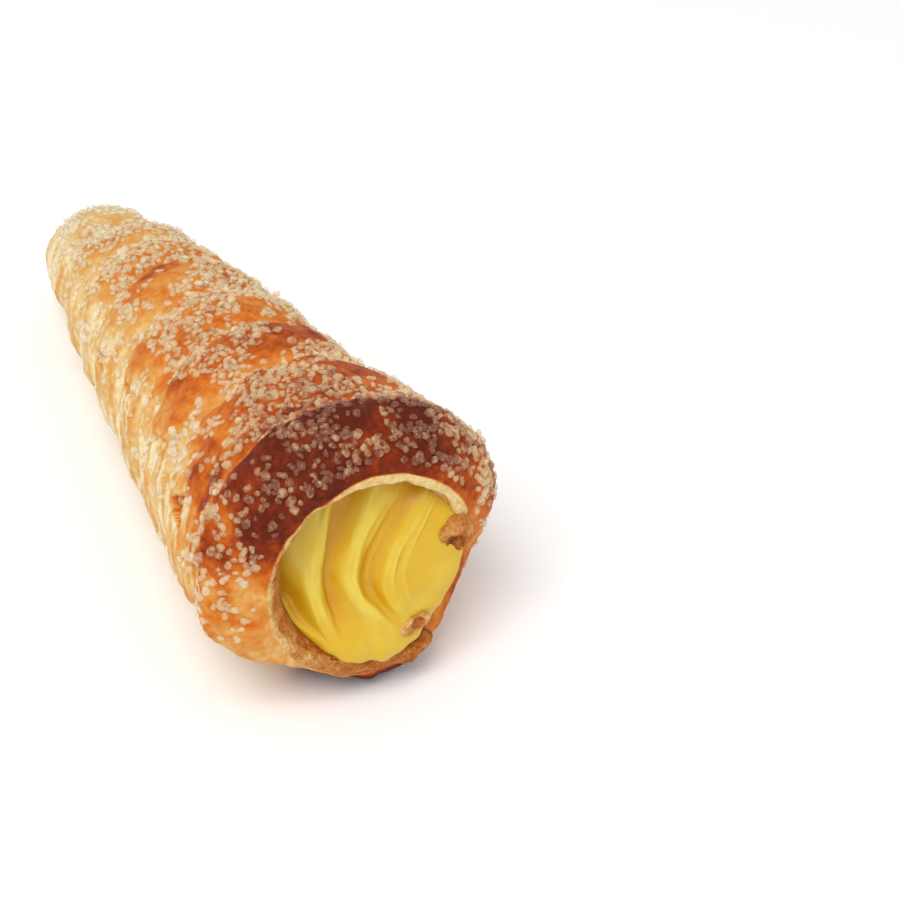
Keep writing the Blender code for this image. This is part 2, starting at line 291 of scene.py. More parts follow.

# Fine streaks along the piped lines: how wide a line counts, how much they are drawn out, their
# size, and what they add to the height and to the colour's level, which paints raised streaks paler and
# sunken ones darker as painted light and shade
LINE_WIDTH = 2.6 * MM
STRIATION_STRETCH = 0.10
STRIATION_SIZE = 0.55 * MM
STRIATION_HEIGHT = 0.14 * MM
STRIATION_SHADE = 0.13

# Seed of each noise
EDGE_SEED = 11
BLISTER_SEED = 23
LAYER_SEED = 37
CUSTARD_SEED = 53
SUGAR_SEED = 61
MOTTLE_SEED = 41


def srgb(red, green, blue):
    """A linear colour from display values of 0 to 255."""
    shares = (red / 255, green / 255, blue / 255)
    linear = (s / 12.92 if s <= 0.04045 else ((s + 0.055) / 1.055) ** 2.4 for s in shares)
    return (*linear, 1.0)


def smooth_step(value):
    """Rises smoothly from 0 to 1 while value does, and is level outside that."""
    value = np.clip(value, 0.0, 1.0)
    return value * value * (3.0 - 2.0 * value)


def rising(value, start, width):
    """Rises smoothly from 0 to 1 while value goes from start on by width."""
    return smooth_step((value - start) / width)


def turned(phi, angle):
    """How far phi is from angle, the short way round."""
    return (phi - angle + math.pi) % (2.0 * math.pi) - math.pi


def bell(phi, height, angle, width):
    """Rises to a height at one angle round the cone, and fades to either side of it."""
    return height * np.exp(-((turned(phi, math.radians(angle)) / math.radians(width)) ** 2))


def lattice(cells, seed):
    """A repeatable number from -1 to 1 for each whole-numbered cell."""
    mask = 0xFFFFFFFF
    x, y, z = np.moveaxis(cells, -1, 0)
    mixed = (x * 73856093 ^ y * 19349663 ^ z * 83492791 ^ seed * 2971215073) & mask
    mixed = ((mixed ^ (mixed >> 15)) * 2246822519) & mask
    mixed = ((mixed ^ (mixed >> 13)) * 3266489917) & mask
    return (mixed ^ (mixed >> 16)) / (0.5 * mask) - 1.0


def noise(points, size, seed):
    """Smooth noise from about -1 to 1, whose lumps measure size."""
    scaled = points / size
    cells = np.floor(scaled).astype(np.int64)
    near = smooth_step(scaled - cells)
    total = np.zeros(points.shape[:-1])
    for corner in itertools.product((0, 1), repeat=3):
        weight = np.prod(np.where(corner, near, 1.0 - near), axis=-1)
        total += weight * lattice(cells + np.array(corner), seed)
    return 1.4 * total


def layered_noise(points, layers, seed, step=0):
    """Noises added up, each of its own size and strength, with seeds that are a step apart."""
    return sum(share * noise(points, size, seed + i * step) for i, (size, share) in enumerate(layers))


def cone_radius(x):
    """Radius of the baked cone, over the crests of its turns."""
    share = np.clip((x - CONE_START) / (CONE_END - CONE_START), 0.0, 1.0)
    swell = TAPER_SWELL * share * (1.0 - share) * (1.0 - 2.0 * share)
    return TIP_RADIUS + (MOUTH_RADIUS - TIP_RADIUS) * (share**TAPER_POWER + swell)


def cone_axis(x):
    """Sideways place and height of the cone's axis."""
    shift = BODY_SHIFT * smooth_step((CONE_END - x) / BODY_SHIFT_LENGTH)
    return shift, SIT_RATIO * cone_radius(x)


def hollow_axis(x):
    """Sideways place and height of the mould's straight axis."""
    back, front = SIT_RATIO * cone_radius(HOLLOW_END), SIT_RATIO * cone_radius(LENGTH / 2)
    return np.zeros_like(x), back + (front - back) * (x - HOLLOW_END) / (LENGTH / 2 - HOLLOW_END)


def edge_shift(phi):
    """How much nearer the mouth a turn's rear edge is at this angle than on top."""
    winding = -EDGE_ADVANCE * phi / (2.0 * math.pi)
    sagging = 0.5 * EDGE_BOW * (1.0 - np.cos(phi))
    fade = rising(np.abs(phi), SHIFT_FADE_START, math.pi - SHIFT_FADE_START)
    return (winding + sagging) * (1.0 - fade)


def edge_x(index, phi):
    """Where a turn's ragged rear edge runs."""
    middle = TURN_EDGES[index]
    radius = cone_radius(middle)
    points = np.stack([np.full_like(phi, middle), radius * np.sin(phi), radius * np.cos(phi)], axis=-1)
    return middle + edge_shift(phi) + layered_noise(points, EDGE_WAVES, EDGE_SEED)


def rim_x(phi):
    """The mouth's rim leans a little, and is cut back where the strip ends."""
    height = RIM_RADIUS * np.cos(phi)
    return LENGTH / 2 - RIM_LEAN * (height + RIM_RADIUS) - bell(phi, *RIM_CUT)


def relief_share(phi):
    """The turns stand out on top, less on the -Y flank, and are pressed flat underneath."""
    flank = smooth_step((FLANK_START - phi) / FLANK_WIDTH)
    pressed = rising(np.abs(phi), PRESSED_START, PRESSED_WIDTH)
    side = 1.0 - (1.0 - FLANK_RELIEF) * flank
    return side + (UNDERSIDE_RELIEF - side) * pressed


def dome(share):
    """Height of one turn's surface, from its rear edge (0) to where the next turn covers it (1)."""
    share = np.clip(share, 0.0, 1.0)
    rise = REAR_EDGE_SHARE + (1.0 - REAR_EDGE_SHARE) * np.sin(0.5 * math.pi * share / DOME_PEAK)
    falling = np.clip((share - DOME_PEAK) / (1.0 - DOME_PEAK), 0.0, 1.0)
    return np.where(share < DOME_PEAK, rise, np.cos(0.5 * math.pi * falling) ** DOME_FALL_POWER)


def unevenness(x, phi):
    """Hand-rolled dough is never quite round."""
    waves = (share * np.sin(turns * phi + along * x + phase) for share, turns, along, phase in UNEVEN_WAVES)
    return UNEVENNESS * sum(waves)


def tuck(x, phi):
    """How far the strip is tucked in low on both sides of the mouth, most where it ends, at +Y."""
    return rising(x, TUCK_START, CONE_END - TUCK_START) * sum(bell(phi, *shape) for shape in TUCKS)


def outer_radius(x, phi, share):
    """Radius of the crust where the turn's own coordinate is share."""
    height = LEDGE_HEIGHT * relief_share(phi) * (dome(share) - 1.0)
    return cone_radius(x) + height + unevenness(x, phi) - tuck(x, phi)


def rim_flattening(phi):
    """The rim is a little lower than it is wide."""
    return np.sqrt(np.sin(phi) ** 2 + (RIM_HEIGHT_RATIO * np.cos(phi)) ** 2)


def hollow_radius(x, phi):
    """Radius of the hollow that the mould leaves, its edge baked open, but drawn in at the -Y side."""
    share = (x - HOLLOW_END) / (LENGTH / 2 - HOLLOW_END)
    straight = HOLLOW_END_RADIUS + (RIM_RADIUS - HOLLOW_FLARE - HOLLOW_END_RADIUS) * share
    flare = HOLLOW_FLARE * np.clip(1.0 - (rim_x(phi) - x) / FLARE_DEPTH, 0.0, 1.0)
    depth = (rim_x(phi) - x) / CHAMFER_DEPTH
    chamfer = smooth_step(depth) * (1.0 - rising(depth, 1.0, CHAMFER_FADE)) * bell(phi, *CHAMFER)
    return (straight + flare - chamfer) * rim_flattening(phi)


def curl_power(phi):
    """The last turn is full on top, curls in sooner at the lower left and is blunt at its cut end."""
    return CURL_POWER - bell(phi, *CURL_BELOW) + bell(phi, *CURL_BLUNT)


def ring_points(x, radius, phi, axis, floor=0.0):
    """Points of rings round an axis; what would sink below the floor is pressed flat on it."""
    x = np.broadcast_to(x, radius.shape)
    across, height = axis(x)
    height = np.maximum(height + radius * np.cos(phi), floor)
    return np.stack([x, across + radius * np.sin(phi), height], axis=-1)


def frame_offset():
    """The way from the part's own axes to the frame, read off the inner end of the custard's node."""
    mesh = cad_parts["custard_filling"].data
    points = np.array([vertex.co for vertex in mesh.vertices])
    end = points[points[:, 0] < points[:, 0].min() + FILLING_GAP]
    middle = 0.5 * (end.min(axis=0) + end.max(axis=0))
    return np.array([middle[0] - FILLING_BACK, middle[1], 0.0])


OFFSET = frame_offset()


def axis_point(x, axis):
    """The point of an axis at one x, where a mesh closes."""
    return (x, *(float(v) for v in axis(x)))


def signed_volume(points, faces):
    """Six times the volume that the faces enclose: negative where they point inwards."""
    a, b, c = points[faces[:, 0]], points[faces[:, 1]], points[faces[:, 2]]
    return float(np.sum(a * np.cross(b, c)))


def grid_faces(rows, columns, closed):
    """Quads over a grid that is closed across, and along too if closed is set."""
    index = np.arange(rows * columns).reshape(rows, columns)
    ahead = np.roll(index, -1, axis=0)
    if not closed:
        index, ahead = index[:-1], ahead[:-1]
    quads = np.stack([index, ahead, np.roll(ahead, -1, axis=1), np.roll(index, -1, axis=1)], axis=-1)
    return quads.reshape(-1, 4)


def fan_faces(centre, ring, backwards):
    """Triangles from a centre to a ring of vertices."""
    following = np.roll(ring, -1)
    ends = (following, ring) if backwards else (ring, following)
    return np.stack([np.full_like(ring, centre), *ends], axis=-1)


def new_mesh(name, points, faces, values):
    """A smooth mesh, moved into the frame, with the named values on its vertices."""
    mesh = bpy.data.meshes.new(name)
    mesh.from_pydata((points + OFFSET).tolist(), [], faces)
    for key, value in values.items():
        mesh.attributes.new(key, "FLOAT", "POINT").data.foreach_set("value", value.astype(np.float32))
    mesh.shade_smooth()
    return mesh


def grid_mesh(name, grid, values, start=None, end=None):
    """A closed mesh over a grid of points, with the named values on its vertices.

    Without a start and an end point the grid's rows close on themselves.
    """
    rows, columns = grid.shape[:2]
    points = grid.reshape(-1, 3)
    quads = grid_faces(rows, columns, start is None)
    values = {key: value.reshape(-1) for key, value in values.items()}
    fans = np.empty((0, 3), dtype=np.int64)
    if start is not None:
        first, last = len(points), len(points) + 1
        ring = np.arange(columns)
        far_ring = ring + (rows - 1) * columns
        fans = np.concatenate([fan_faces(first, ring, False), fan_faces(last, far_ring, True)])
        points = np.concatenate([points, [start, end]])
        values = {key: np.append(value, [value[0], value[-1]]) for key, value in values.items()}
    triangles = np.concatenate([quads[:, :3], quads[:, [0, 2, 3]], fans])
    if signed_volume(points, triangles) < 0.0:
        quads, fans = quads[:, ::-1], fans[:, ::-1]
    return new_mesh(name, points, quads.tolist() + fans.tolist(), values)


def add_object(name, data):
    """An object with this data, in the scene."""
    item = bpy.data.objects.new(name, data)
    bpy.context.scene.collection.objects.link(item)
    return item


def add_piece(name, mesh, material, node):
    """One visible piece that stands for a CAD node."""
    mesh.materials.append(material)
    piece = add_object(name, mesh)
    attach(piece, "root")
    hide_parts(node)


def grid_normals(grid):
    """Outward directions at the points of a grid that is closed across."""
    along = np.gradient(grid, axis=0)
    across = np.roll(grid, -1, axis=1) - np.roll(grid, 1, axis=1)
    normals = np.cross(along, across)
    return normals / np.maximum(np.linalg.norm(normals, axis=-1, keepdims=True), 1e-12)


def mark_share(x, phi, points, mark, corners=0.0):
    """How much a point belongs to a mark, whose outline is uneven and may have three corners."""
    place, angle, half_length, half_angle = mark[:4]
    along = (x - place - edge_shift(phi) + edge_shift(math.radians(angle))) / half_length
    around = turned(phi, math.radians(angle)) / math.radians(half_angle)
    wobble = layered_noise(points, MARK_WOBBLE, MOTTLE_SEED + 5)
    reach = np.hypot(along, around) * (1.0 + corners * np.cos(3.0 * np.arctan2(around, along)))
    return smooth_step((MARK_REACH + wobble - reach) / MARK_FADE)


def bake_level(x, phi, points, relief, behind):
    """How brown the crust is, from 0 to 1, with painted shade in its pits; behind is the distance from the
    turn's rear edge.
    """
    places, *sides = zip(*BAKE_ALONG)
    levels = [np.interp(x, places, side) for side in sides]
    level = np.zeros_like(x)
    for start, end, left, right in zip(BAKE_ANGLES, BAKE_ANGLES[1:], BAKE_COLUMNS, BAKE_COLUMNS[1:]):
        between = levels[left] + (levels[right] - levels[left]) * rising(phi, start, end - start)
        level = np.where((phi >= start) & (phi < end), between, level)
    for mark in MARKS:
        level = level + mark[4] * mark_share(x, phi, points, mark)
    # Pits are darkened for their depth: painted shade in the hollows
    level = np.minimum(level - PIT_SHADE * pit_relief(x, phi, points), BROWNEST)
    mottle = layered_noise(points, MOTTLES, MOTTLE_SEED, 1) + BLISTER_BROWNING * relief
    strength = MOTTLE_WHERE_PALE + (1.0 - MOTTLE_WHERE_PALE) * smooth_step(level / MOTTLE_FULL_LEVEL)
    streaks = layered_noise(strip_points(points, behind), STREAKS, LAYER_SEED + 1)
    return level + strength * mottle + rising(np.degrees(np.abs(phi)), *STREAK_SIDES) * streaks


def pit_relief(x, phi, points):
    """Small hollows where the strip's layers have come apart."""
    return -sum(pit[4] * mark_share(x, phi, points, pit, PIT_CORNERS) for pit in PITS)


def strip_points(points, behind):
    """Points in which noise is drawn out along the strip, like its layers."""
    strip = points * np.array([0.0, LAYER_STRETCH, LAYER_STRETCH])
    strip[..., 0] = behind
    return strip


def crust_relief(points, phi, behind):
    """Outward unevenness of the crust; behind is the distance from the turn's rear edge."""
    side = LAYERS_ON_TOP + (1.0 - LAYERS_ON_TOP) * rising(np.degrees(np.abs(phi)), *LAYER_SIDES)
    layers = side * layered_noise(strip_points(points, behind), LAYERS, LAYER_SEED)
    return layered_noise(points, BLISTERS, BLISTER_SEED, 1) + layers


def add_relief(grid, phi, behind, strength):
    """The grid moved outwards by the crust's unevenness, and that unevenness."""
    relief = strength * (crust_relief(grid, phi, behind) + pit_relief(grid[..., 0], phi, grid))
    moved = grid + grid_normals(grid) * relief[..., None]
    moved[..., 2] = np.maximum(moved[..., 2], 0.0)
    return moved, relief


def seam_share(behind, ahead=np.inf, band=MM):
    """What the browning keeps near a turn's seams: at its own rear edge and before the next one."""
    lip = PALE_EDGE_DEPTH * (1.0 - smooth_step(behind / PALE_EDGE_LENGTH))
    valley = PALE_BAND_DEPTH * np.exp(-((ahead / band) ** 2))
    return (1.0 - lip) * (1.0 - valley)


def baked_outside(base, x, phi, start, end, band, strength=1.0):
    """The outside of a turn from start to end with its unevenness, and its browning."""
    phi = np.broadcast_to(phi, x.shape)
    outside, relief = add_relief(base, phi, x - start, strength * smooth_step((end - x) / EDGE_FADE))
    bake = bake_level(x, phi, outside, relief, x - start)
    return outside, bake * seam_share(x - start, end - x, band)


def covered_radius(index, phi):
    """Radius of the turn below where the given turn's rear edge lies on it."""
    return outer_radius(edge_x(index, phi), phi, 1.0)


def rear_rows(index, phi):
    """Hidden rows from the hollow's wall up to the underside of a turn's rear edge."""
    edge, below = edge_x(index, phi), covered_radius(index, phi)
    root = edge + LIP_ROOT
    wall = hollow_radius(root, phi) + WALL_CLEARANCE
    yield ring_points(root, wall, phi, hollow_axis)
    yield ring_points(root, below - ROOT_DEPTH, phi, cone_axis, COVERED_FLOOR)
    yield ring_points(root, below + LIP_GAP, phi, cone_axis, LIP_FLOOR)
    yield ring_points(edge + UNDER_LIP_START, below + LIP_GAP, phi, cone_axis, LIP_FLOOR)


def lip_rows(index, phi):
    """x and radius of the rows that round off a turn's rear edge."""
    edge, below = edge_x(index, phi), covered_radius(index, phi)
    step = outer_radius(edge, phi, 0.0) - below
    for reach, share in LIP_ROWS:
        yield edge + reach, below + LIP_GAP + (step - LIP_GAP) * share


def front_rows(index, phi):
    """Hidden rows from under the next turn's edge down to the hollow's wall."""
    edge, below = edge_x(index, phi), covered_radius(index, phi)
    covered = edge + COVERED_LENGTH
    wall = hollow_radius(covered, phi) + WALL_CLEARANCE
    yield ring_points(covered, below, phi, cone_axis, COVERED_FLOOR)
    yield ring_points(covered, below - ROOT_DEPTH, phi, cone_axis, COVERED_FLOOR)
    yield ring_points(covered, wall, phi, hollow_axis)


def stacked(rows):
    """Rows of x and radius as two arrays."""
    rows = list(rows)
    return np.stack([x for x, _ in rows]), np.stack([radius for _, radius in rows])


def framed(visible, value, before, after):
    """Values of the visible rows with those of the hidden rows around them."""
    columns = visible.shape[1]
    return np.concatenate([np.full((before, columns), value), visible, np.full((after, columns), value)])


def turn_outside(index, phi):
    """x, radius and share of the outside of one whole turn, from its rear edge to the next."""
    start, end = edge_x(index, phi), edge_x(index - 1, phi)
    first = start + LIP_REACH
    count = int(np.max(end - start) / ROW_SPACING)
    x = first + np.linspace(0.0, 1.0, count)[:, None] * (end - first)
    share = (x - start) / (end - start)
    radius = outer_radius(x, phi, share)
    lip_x, lip_radius = stacked(lip_rows(index, phi))
    return np.concatenate([lip_x, x]), np.concatenate([lip_radius, radius])


def angles():
    """Angles round the cone, from straight down through -Y, the top and +Y."""
    return np.linspace(-math.pi, math.pi, COLUMNS, endpoint=False)


def crust_turn(index, phi):
    """Grid and values of one turn between the tip and the mouth, and its open rows and their browning."""
    x, radius = turn_outside(index, phi)
    base = ring_points(x, radius, phi, cone_axis)
    start, end = edge_x(index, phi), edge_x(index - 1, phi)
    outside, bake = baked_outside(base, x, phi, start, end, PALE_BANDS[index - 1])
    rear, front = list(rear_rows(index, phi)), list(front_rows(index - 1, phi))
    values = {"bake": framed(bake, HIDDEN_BAKE, len(rear), len(front))}
    return np.concatenate([rear, outside, front]), values, (outside[EDGE_ROWS:], bake[EDGE_ROWS:])


def tip_outside(phi, last):
    """x of the rows from the tip's pole to the last rear edge, and how far the tip has opened there."""
    theta = np.linspace(TIP_POLE_ANGLE, 0.5 * math.pi, TIP_CAP_ROWS)[:, None]
    cap = np.cos(theta) ** (2.0 / TIP_CAP_POWER)
    cap_x = np.broadcast_to(CONE_START + TIP_CAP_LENGTH * (1.0 - cap), (len(theta), len(phi)))
    cap_opening = np.broadcast_to(np.sin(theta) ** (2.0 / TIP_CAP_POWER), cap_x.shape)
    cap_end = CONE_START + TIP_CAP_LENGTH
    count = int(np.max(last - cap_end) / ROW_SPACING)
    body_x = cap_end + np.linspace(0.0, 1.0, count)[1:, None] * (last - cap_end)
    return np.concatenate([cap_x, body_x]), np.concatenate([cap_opening, np.ones_like(body_x)])


def crust_tip(phi):
    """Grid and values of the closed tip, and its open rows and their browning."""
    index = len(TURN_EDGES) - 1
    last = edge_x(index, phi)
    x, opening = tip_outside(phi, last)
    share = TIP_SHARE_START + (1.0 - TIP_SHARE_START) * (x - CONE_START) / (last - CONE_START)
    base = ring_points(x, outer_radius(x, phi, share) * opening, phi, cone_axis)
    strength = smooth_step(opening / TIP_RELIEF_START)
    outside, bake = baked_outside(base, x, phi, CONE_START, last, PALE_BANDS[-1], strength)
    bottom_x = np.full_like(phi, HOLLOW_END)
    bottom = ring_points(bottom_x, hollow_radius(bottom_x, phi) + WALL_CLEARANCE, phi, hollow_axis)
    hidden = [*front_rows(index, phi), bottom]
    values = {"bake": framed(bake, HIDDEN_BAKE, 0, len(hidden))}
    return np.concatenate([outside, hidden]), values, (outside, bake)


def mouth_outside(phi):
    """x and radius of the last turn, from its rear edge round its crest to the rim."""
    start, end = edge_x(0, phi), rim_x(phi)
    lip = (RIM_RADIUS + LIP_THICKNESS) * rim_flattening(phi)
    power = curl_power(phi)
    rows = []
    for theta in np.linspace(0.0, 0.5 * math.pi, CREST_ROWS):
        station = np.maximum(math.sin(theta) ** (2.0 / power), LIP_REACH / (end - start))
        crest = outer_radius(start, phi, np.minimum(station, DOME_PEAK))
        rows.append((start + station * (end - start), lip + (crest - lip) * math.cos(theta)))
    x, radius = stacked(rows[CREST_ROWS_SKIPPED:])
    lip_x, lip_radius = stacked(lip_rows(0, phi))
    return np.concatenate([lip_x, x]), np.concatenate([lip_radius, radius])


def rim_rows(phi):
    """x and radius of the thin rim, rounded over into the mouth."""
    outer = (RIM_RADIUS + LIP_THICKNESS) * rim_flattening(phi)
    inner = hollow_radius(rim_x(phi), phi) + WALL_CLEARANCE
    for theta in np.linspace(0.0, math.pi, RIM_ROWS)[1:-1]:
        swell = RIM_SWELL * math.sin(theta)
        yield rim_x(phi) + swell, 0.5 * (outer + inner) + 0.5 * (outer - inner) * math.cos(theta)


def wall_rows(phi):
    """x and radius of the wall inside the mouth, from the rim back past the filling's front."""
    start, end = rim_x(phi), edge_x(0, phi) + LIP_ROOT
    for share in np.linspace(0.0, 1.0, WALL_ROWS):
        x = start + share * (end - start)
        yield x, hollow_radius(x, phi) + WALL_CLEARANCE


def pale_lip(phi):
    """The rim is thick and pale at the top right only."""
    angle = np.degrees(phi)
    return rising(angle, *PALE_LIP_START) * (1.0 - rising(angle, *PALE_LIP_END))


def rim_crumb(points, to_rim, depth):
    """Ragged crumb along the rim and the start of the wall."""
    nearness = np.exp(-((to_rim / RIM_CRUMB_REACH) ** 2)) * np.exp(-((depth / RIM_CRUMB_DEPTH) ** 2))
    return nearness * layered_noise(points, RIM_CRUMBS, BLISTER_SEED + 9)


def rim_browning(points, phi, to_rim, depth):
    """How bare the strip's cut edge lies round the rim and on the wall, and how brown it is."""
    lip, low = pale_lip(phi), bell(phi, *LOW_CRUMB)
    reach, level = (start + at_lip * lip + at_base * low for start, at_lip, at_base in (CUT_REACH, CUT_BAKE))
    level = level + layered_noise(points, CUT_SPOTS, MOTTLE_SEED + 3)
    return 1.0 - rising(to_rim, reach, CUT_FADE), level + WALL_BAKE * rising(depth, *WALL_BAKE_DEPTH)


def base_burn_and_shadow(x, phi, height):
    """How dark the mouth turn is low down near the floor: partly the underside burnt on the baking tray,
    partly a painted contact shadow.
    """
    low = bell(phi, *BASE_BURN_AND_SHADOW) * (1.0 - smooth_step(height / BASE_HEIGHT))
    return low * rising(x, edge_x(0, 0.0), BASE_START_LENGTH)


def mouth_rows(phi):
    """Points, x, distance outside the rim and depth inside it of the mouth turn; count of its outer rows."""
    x, radius = mouth_outside(phi)
    rim_place, rim_radius = stacked(rim_rows(phi))
    wall_x, wall_radius = stacked(wall_rows(phi))
    outer = ring_points(x, radius, phi, cone_axis)
    rim = ring_points(rim_place, rim_radius, phi, cone_axis)
    wall = ring_points(wall_x, wall_radius, phi, hollow_axis)
    end, inner = rim_x(phi), RIM_RADIUS * rim_flattening(phi)
    across_rim = np.maximum(rim_radius - inner, 0.0)
    to_rim = np.concatenate([radius - inner + (end - x), across_rim, np.zeros(wall_x.shape)])
    depth = np.concatenate([np.zeros((len(outer) + len(rim), len(phi))), end - wall_x])
    place = np.concatenate([x, rim_place, wall_x])
    return np.concatenate([outer, rim, wall]), place, to_rim, depth, len(outer)


def crust_mouth(phi):
    """Grid and values of the last turn, which curls into the mouth, and its open rows and their browning."""
    base, x, to_rim, depth, outer_count = mouth_rows(phi)
    phi_here, behind = np.broadcast_to(phi, x.shape), x - edge_x(0, phi)
    strength = RIM_RELIEF + (1.0 - RIM_RELIEF) * smooth_step(to_rim / RIM_RELIEF_LENGTH)
    strength = strength * (1.0 - smooth_step(depth / WALL_RELIEF_DEPTH))
    moved, relief = add_relief(base, phi_here, behind, strength)
    moved = moved + grid_normals(base) * rim_crumb(base, to_rim, depth)[..., None]
    bake = bake_level(x, phi_here, moved, relief, behind) * seam_share(behind)
    bare, crumb = rim_browning(base, phi_here, to_rim, depth)
    # The dark base is partly burnt underside and partly a painted contact shadow
    bake = np.maximum(bake + (crumb - bake) * bare, base_burn_and_shadow(x, phi_here, moved[..., 2]))
    rear = list(rear_rows(0, phi))
    values = {"bake": framed(bake, HIDDEN_BAKE, len(rear), 0), "crumb": framed(bare, 0.0, len(rear), 0)}
    open_rows = slice(EDGE_ROWS, outer_count)
    return np.concatenate([rear, moved]), values, (moved[open_rows], bake[open_rows])


def principled_material(name, inputs):
    """A Principled material with its uniform numbers set, and its tree to add colour to."""
    material = bpy.data.materials.new(name)
    material.use_nodes = True
    shader = material.node_tree.nodes["Principled BSDF"]
    for key, value in inputs.items():
        shader.inputs[key].default_value = value
    return material, material.node_tree, shader


def noise_node(tree, size, detail=2.0):
    """Procedural noise in the object's own space, whose lumps measure size."""
    place = tree.nodes.new("ShaderNodeTexCoord")
    texture = tree.nodes.new("ShaderNodeTexNoise")
    texture.inputs["Scale"].default_value = 1.0 / size
    texture.inputs["Detail"].default_value = detail
    tree.links.new(place.outputs["Object"], texture.inputs["Vector"])
    return texture.outputs["Fac"]


def math_node(tree, operation, first, second):
    """One sum, difference or product of two values, each a number or a socket."""
    node = tree.nodes.new("ShaderNodeMath")
    node.operation = operation
    for socket, value in zip(node.inputs, (first, second)):
        if isinstance(value, (int, float)):
            socket.default_value = value
        else:
            tree.links.new(value, socket)
    return node.outputs["Value"]


def centred_node(tree, value, strength):
    """A value of 0 to 1 as one of minus to plus half the strength."""
    return math_node(tree, "MULTIPLY", math_node(tree, "SUBTRACT", value, 0.5), strength)


def attribute_node(tree, name):
    """A value that the mesh carries on its vertices."""
    node = tree.nodes.new("ShaderNodeAttribute")
    node.attribute_name = name
    return node.outputs["Fac"]


def ramp_node(tree, factor, stops):
    """A colour ramp from (place, colour) stops."""
    node = tree.nodes.new("ShaderNodeValToRGB")
    node.color_ramp.interpolation = "LINEAR"
    elements = node.color_ramp.elements
    while len(elements) < len(stops):
        elements.new(0.5)
    for element, (place, colour) in zip(elements, stops):
        element.position = place
        element.color = colour
    tree.links.new(factor, node.inputs["Fac"])
    return node.outputs["Color"]


def bump_node(tree, shader, height, distance):
    """Fine unevenness, below what the mesh holds."""
    node = tree.nodes.new("ShaderNodeBump")
    node.inputs["Strength"].default_value = 0.8
    node.inputs["Distance"].default_value = distance
    tree.links.new(height, node.inputs["Height"])
    tree.links.new(node.outputs["Normal"], shader.inputs["Normal"])


BAKE_STOPS = (
    (0.00, srgb(236, 216, 172)),
    (0.13, srgb(220, 184, 122)),
    (0.28, srgb(214, 152, 76)),
    (0.48, srgb(206, 114, 36)),
    (0.68, srgb(172, 74, 22)),
    (0.84, srgb(128, 46, 18)),
    (1.00, srgb(92, 32, 15)),
)

CRUMB_STOPS = (
    (0.0, srgb(232, 208, 150)),
    (0.25, srgb(216, 180, 116)),
    (0.50, srgb(190, 130, 68)),
    (0.70, srgb(172, 96, 34)),
    (1.0, srgb(92, 42, 18)),
)


def crust_material():
    """Egg-washed puff pastry, cream where pale and mahogany where dark; bare crumb is duller."""
    material, tree, shader = principled_material("baked_pastry", {
        "Subsurface Weight": 0.10, "Subsurface Radius": (1.2, 0.6, 0.3), "Subsurface Scale": MM,
        "Specular IOR Level": 0.07})
    mottle = centred_node(tree, noise_node(tree, 1.0 * MM, detail=6.0), 0.42)
    pores = centred_node(tree, noise_node(tree, 0.55 * MM, detail=3.0), 0.7)
    level, crumb = (math_node(tree, "ADD", attribute_node(tree, "bake"), spots) for spots in (mottle, pores))
    mix = tree.nodes.new("ShaderNodeMixRGB")
    tree.links.new(attribute_node(tree, "crumb"), mix.inputs["Fac"])
    tree.links.new(ramp_node(tree, level, BAKE_STOPS), mix.inputs["Color1"])
    tree.links.new(ramp_node(tree, crumb, CRUMB_STOPS), mix.inputs["Color2"])
    tree.links.new(mix.outputs["Color"], shader.inputs["Base Color"])
    rough = math_node(tree, "ADD", 0.40, math_node(tree, "MULTIPLY", noise_node(tree, 2.2 * MM), 0.26))
    tree.links.new(rough, shader.inputs["Roughness"])
    bump_node(tree, shader, noise_node(tree, 0.6 * MM, detail=5.0), 0.34 * MM)
    return material


def build_crust(material):
    """All turns of the strip; returns the open rows of each and their browning, for the sugar."""
    phi = angles()
    ends = axis_point(CONE_START, cone_axis), axis_point(HOLLOW_END, hollow_axis)
    turns = [("crust_tip", crust_tip(phi), ends)]
    for index in range(len(TURN_EDGES) - 1, 0, -1):
        turns.append((f"crust_turn_{index + 1}", crust_turn(index, phi), ()))
    turns.append(("crust_mouth_turn", crust_mouth(phi), ()))
    for name, (grid, values, _), ends in turns:
        add_piece(name, grid_mesh(name, grid, values, *ends), material, "pastry_shell")
    return [open_rows for _, (_, _, open_rows), _ in turns]


def piped_level(y, z):
    """Level of the piped ridges, 0 to 1, and a coordinate that runs across them."""
    y, z = y / MM, z / MM
    places = []
    for place, height, above, below, _, _ in PIPED_LINES:
        bend = np.where(z > height, above, below)
        places.append(place + bend * np.abs(z - height) ** LINE_BEND_POWER)
    level, across = np.full_like(y, PIPED_LINES[0][4]), np.zeros_like(y)
    for i, (line, following) in enumerate(zip(PIPED_LINES, PIPED_LINES[1:])):
        share = np.clip((y - places[i]) / (places[i + 1] - places[i]), 0.0, 1.0)
        here = y >= places[i]
        between = line[4] + (following[4] - line[4]) * smooth_step(share ** line[5])
        level = np.where(here, between, level)
        across = np.where(here, i + share, across)
    return level, across


def piped_fade(z):
    """The ridges run out towards the bottom of the mouth."""
    return rising(z, PIPED_FADE_START, PIPED_FADE_LENGTH)


def face_recess(y, z):
    """How far the custard's front stands back from the rim's plane, its ridges apart."""
    full = smooth_step(FILLING_LEVEL + (FILLING_SLOPE[0] * y + FILLING_SLOPE[1] * z) / RIM_RADIUS)
    return FILLING_RECESS_BEHIND + (FILLING_RECESS_FRONT - FILLING_RECESS_BEHIND) * full


def shifted_level(y, z):
    """Level of the ridges and a coordinate across them, carried along where the front is deeper."""
    recess = face_recess(y, z)
    return piped_level(y - LINE_SHIFT[0] * recess, z - LINE_SHIFT[1] * recess)


def ridge_level(y, z):
    """Level of the ridges, which run out into the last line's towards the bottom."""
    fade = piped_fade(z)
    return fade * shifted_level(y, z)[0] + (1.0 - fade) * PIPED_LINES[-1][4]


